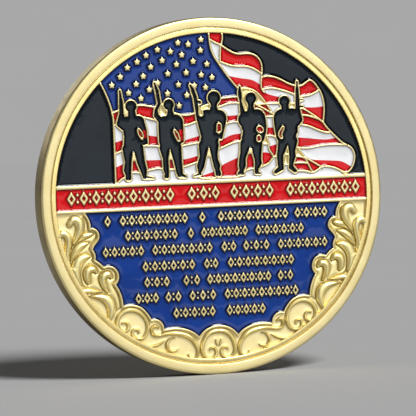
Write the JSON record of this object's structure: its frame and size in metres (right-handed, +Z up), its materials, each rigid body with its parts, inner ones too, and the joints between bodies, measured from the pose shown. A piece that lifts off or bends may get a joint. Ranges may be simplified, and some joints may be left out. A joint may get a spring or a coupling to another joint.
{
  "type": "challenge coin",
  "caption": "Struck, gold plated metal coin with soft enamel fills: marching figures before a waving flag, rows of ornament, scrollwork below.",
  "frame": {"origin": "centre of the coin, half way through its thickness", "axes": "+Y along the coin's axis from the obverse to the reverse, +Z up the artwork, +X to the right as seen from the obverse"},
  "size_m": [0.04, 0.003, 0.04],
  "materials": {
    "gold_plate": "satin gold plate over die-struck brass",
    "slate_enamel": "glossy dark slate soft enamel",
    "blue_enamel": "glossy blue soft enamel",
    "black_enamel": "glossy black soft enamel",
    "red_enamel": "glossy red soft enamel",
    "white_enamel": "glossy white soft enamel"
  },
  "bodies": {
    "root": {"coin_body": "gold_plate", "enamel_back_band": "blue_enamel", "enamel_back_star": "red_enamel", "enamel_banner": "red_enamel", "enamel_canton": "blue_enamel", "enamel_field_left": "slate_enamel", "enamel_field_right": "slate_enamel", "enamel_lower_field": "blue_enamel", "enamel_red_arms": "red_enamel", "enamel_red_fly_bottom": "red_enamel", "enamel_red_fly_side": "red_enamel", "enamel_red_fly_top": "red_enamel", "enamel_red_gap_1_2": "red_enamel", "enamel_red_gap_2_3": "red_enamel", "enamel_red_gap_3_4": "red_enamel", "enamel_red_gap_4_5": "red_enamel", "enamel_red_hoist": "red_enamel", "enamel_red_legs": "red_enamel", "enamel_red_spills": "red_enamel", "enamel_soldier_1": "black_enamel", "enamel_soldier_2": "black_enamel", "enamel_soldier_3": "black_enamel", "enamel_soldier_4": "black_enamel", "enamel_soldier_5": "black_enamel", "enamel_white_fly_side": "white_enamel", "enamel_white_fly_top": "white_enamel", "enamel_white_gap_1_2": "white_enamel", "enamel_white_gap_2_3": "white_enamel", "enamel_white_gap_3_4": "white_enamel", "enamel_white_gap_4_5": "white_enamel", "enamel_white_ground": "white_enamel", "enamel_white_hoist": "white_enamel"}
  },
  "joints": []
}
